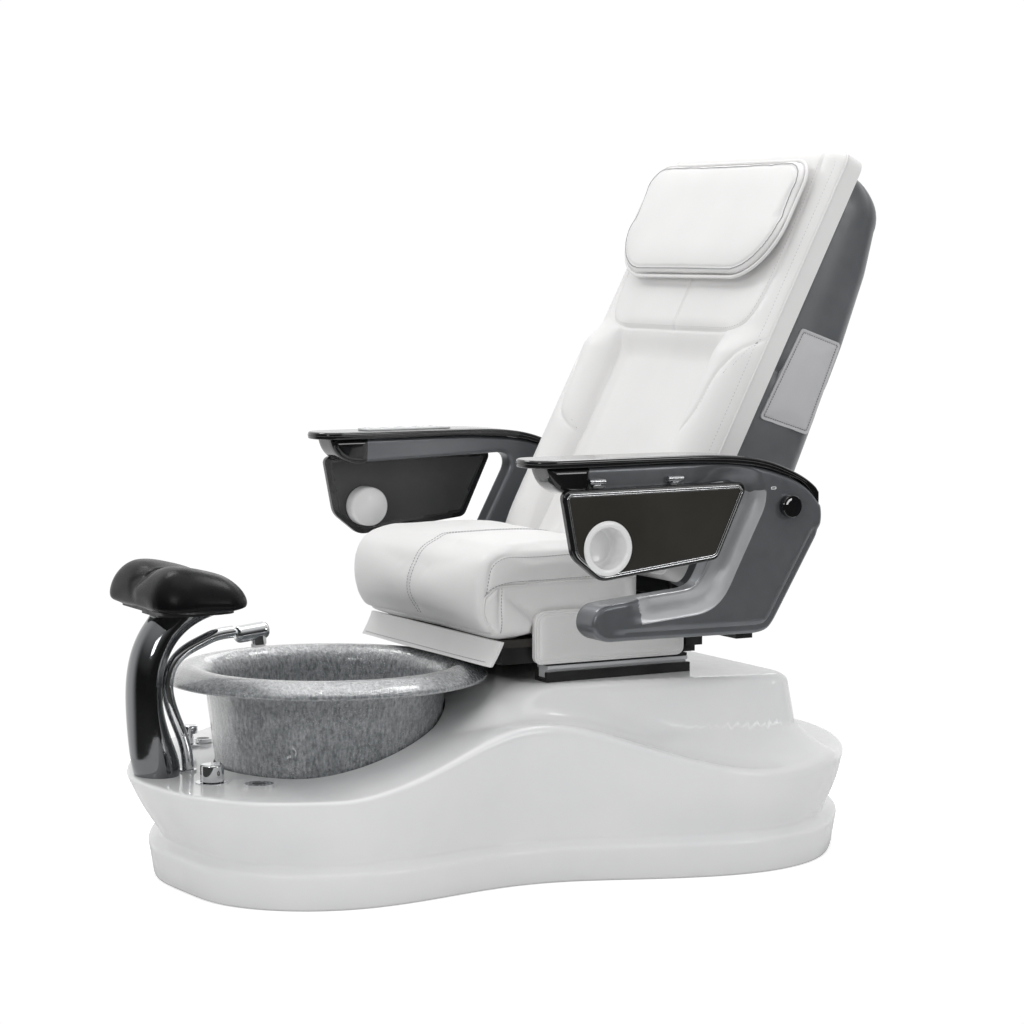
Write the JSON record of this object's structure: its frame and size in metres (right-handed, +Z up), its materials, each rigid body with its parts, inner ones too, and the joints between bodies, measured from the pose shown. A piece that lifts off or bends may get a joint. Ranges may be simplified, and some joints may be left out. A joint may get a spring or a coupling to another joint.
{
  "type": "pedicure spa chair",
  "caption": "Reclining massage chair on a sliding seat above a moulded tub base with a glass foot basin, footrest pillar, spout and fold-down side tables.",
  "frame": {"origin": "on the floor under the middle of the footprint", "axes": "+Z up, the chair faces -Y (foot basin at -Y), +X is the sitter's left"},
  "size_m": [0.9796, 1.409, 1.3024],
  "materials": {
    "gelcoat": "gloss white gelcoat",
    "black_steel": "satin black powder coat",
    "zinc_steel": "zinc plated",
    "bowl_glass": "thick grey glass with bubbles",
    "inner_plastic": "moulded",
    "chrome": "polished",
    "brass": "machined",
    "black_leather": "smooth soft black leather, semi-gloss",
    "gloss_black": "piano black",
    "clear_white": "milky",
    "dark_button": "dark gloss",
    "plywood": "birch plywood",
    "white_leather": "fine-grained white upholstery leather",
    "silver_panel": "satin silver",
    "grey_leather": "dark grey leather",
    "pocket_grey": "mid-grey coated fabric",
    "rubber": "moulded",
    "graphite_shell": "satin graphite with metallic flake",
    "tray_face": "dark warm grey gloss with bright bead",
    "cup_white": "gloss white"
  },
  "bodies": {
    "base": {"base_shell": "gelcoat", "base_frame": "black_steel", "levelling_feet": "zinc_steel", "glass_bowl": "bowl_glass", "bowl_cradle": "inner_plastic", "bowl_drain": "chrome", "jet_housing": "inner_plastic", "jet_cover": "chrome", "drain_pump": "inner_plastic", "control_box": "inner_plastic", "mixer_body": "brass", "footrest_column": "chrome", "footrest_plate": "black_steel", "footrest_pad": "black_leather", "spout_pipe": "chrome", "deck_escutcheons": "chrome", "button_bezels": "chrome", "rail_outer": "black_steel", "slide_actuator": "inner_plastic"},
    "impeller": {"jet_impeller": "inner_plastic"},
    "spray": {"spray_head": "gloss_black", "spray_outlet": "clear_white"},
    "mixer": {"mixer_knob": "chrome"},
    "diverter": {"diverter_handle": "chrome"},
    "air_push": {"air_button": "dark_button"},
    "drain_push": {"drain_button": "dark_button"},
    "carriage": {"rail_inner": "zinc_steel", "seat_frame": "black_steel", "seat_pan": "plywood", "seat_cushion": "white_leather", "seat_apron": "white_leather", "seat_skirt_left": "white_leather", "seat_skirt_right": "white_leather", "arm_shell_left": "graphite_shell", "arm_shell_right": "graphite_shell", "arm_board_left": "gloss_black", "arm_board_right": "gloss_black", "arm_keypad": "silver_panel", "arm_brackets": "black_steel", "tray_hinge_fixed_left": "zinc_steel", "tray_hinge_fixed_right": "zinc_steel", "recline_actuator": "inner_plastic"},
    "knob_left": {"arm_knob_left": "gloss_black"},
    "knob_right": {"arm_knob_right": "gloss_black"},
    "tray_left": {"tray_panel_left": "tray_face", "cup_holder_left": "cup_white", "tray_hinge_moving_left": "zinc_steel"},
    "tray_right": {"tray_panel_right": "tray_face", "cup_holder_right": "cup_white", "tray_hinge_moving_right": "zinc_steel"},
    "backrest": {"back_frame": "black_steel", "back_shell": "grey_leather", "back_cushion": "white_leather", "remote_pocket": "pocket_grey", "massage_track": "zinc_steel"},
    "massage": {"massage_carriage": "inner_plastic"},
    "rollers": {"massage_rollers": "rubber"},
    "pillow": {"head_pillow": "white_leather"},
    "rod": {"recline_rod": "zinc_steel"}
  },
  "joints": [
    {"name": "seat_slide", "type": "slide", "parent": "base", "child": "carriage", "axis": [0, 1, 0], "range_m": [-0.06, 0.09]},
    {"name": "recline", "type": "hinge", "parent": "carriage", "child": "backrest", "pos_m": [0, 0.2915, 0.455], "axis": [-1, 0, 0], "range_deg": [0, 28]},
    {"name": "recline_push", "type": "slide", "parent": "carriage", "child": "rod", "axis": [0, -1, 0], "range_m": [0, 0.0325]},
    {"name": "massage_travel", "type": "slide", "parent": "backrest", "child": "massage", "axis": [0, 0.4602, 0.8878], "range_m": [-0.14, 0.36]},
    {"name": "roller_spin", "type": "hinge", "parent": "massage", "child": "rollers", "pos_m": [0, 0.38435, 0.75183], "axis": [1, 0, 0], "continuous": true},
    {"name": "pillow_lift", "type": "hinge", "parent": "backrest", "child": "pillow", "pos_m": [0, 0.54842, 1.26826], "axis": [-1, 0, 0], "range_deg": [0, 90]},
    {"name": "tray_left_fold", "type": "hinge", "parent": "carriage", "child": "tray_left", "pos_m": [0.474, 0.0445, 0.716], "axis": [0, -1, 0], "range_deg": [0, 90]},
    {"name": "tray_right_fold", "type": "hinge", "parent": "carriage", "child": "tray_right", "pos_m": [-0.474, 0.0445, 0.716], "axis": [0, 1, 0], "range_deg": [0, 90]},
    {"name": "knob_left_turn", "type": "hinge", "parent": "carriage", "child": "knob_left", "pos_m": [0.468, 0.3615, 0.658], "axis": [1, 0, 0], "range_deg": [-135, 135]},
    {"name": "knob_right_turn", "type": "hinge", "parent": "carriage", "child": "knob_right", "pos_m": [-0.468, 0.3615, 0.658], "axis": [-1, 0, 0], "range_deg": [-135, 135]},
    {"name": "mixer_turn", "type": "hinge", "parent": "base", "child": "mixer", "pos_m": [0.123, -0.5985, 0.19], "axis": [0, 0, 1], "range_deg": [-90, 90]},
    {"name": "diverter_turn", "type": "hinge", "parent": "base", "child": "diverter", "pos_m": [-0.249, -0.4865, 0.19], "axis": [0, 0, 1], "range_deg": [-90, 90]},
    {"name": "air_press", "type": "slide", "parent": "base", "child": "air_push", "axis": [0, 0, -1], "range_m": [0, 0.005], "stiffness_N_per_m": 500},
    {"name": "drain_press", "type": "slide", "parent": "base", "child": "drain_push", "axis": [0, 0, -1], "range_m": [0, 0.005], "stiffness_N_per_m": 500},
    {"name": "spray_pull", "type": "slide", "parent": "base", "child": "spray", "axis": [0, 0.9988, 0.0499], "range_m": [0, 0.018]},
    {"name": "impeller_spin", "type": "hinge", "parent": "base", "child": "impeller", "pos_m": [0, -0.1225, 0.168], "axis": [0, 1, 0], "continuous": true}
  ],
  "couplings": [
    {"joint": "recline_push", "follows": "recline", "m_per_rad": 0.066}
  ]
}
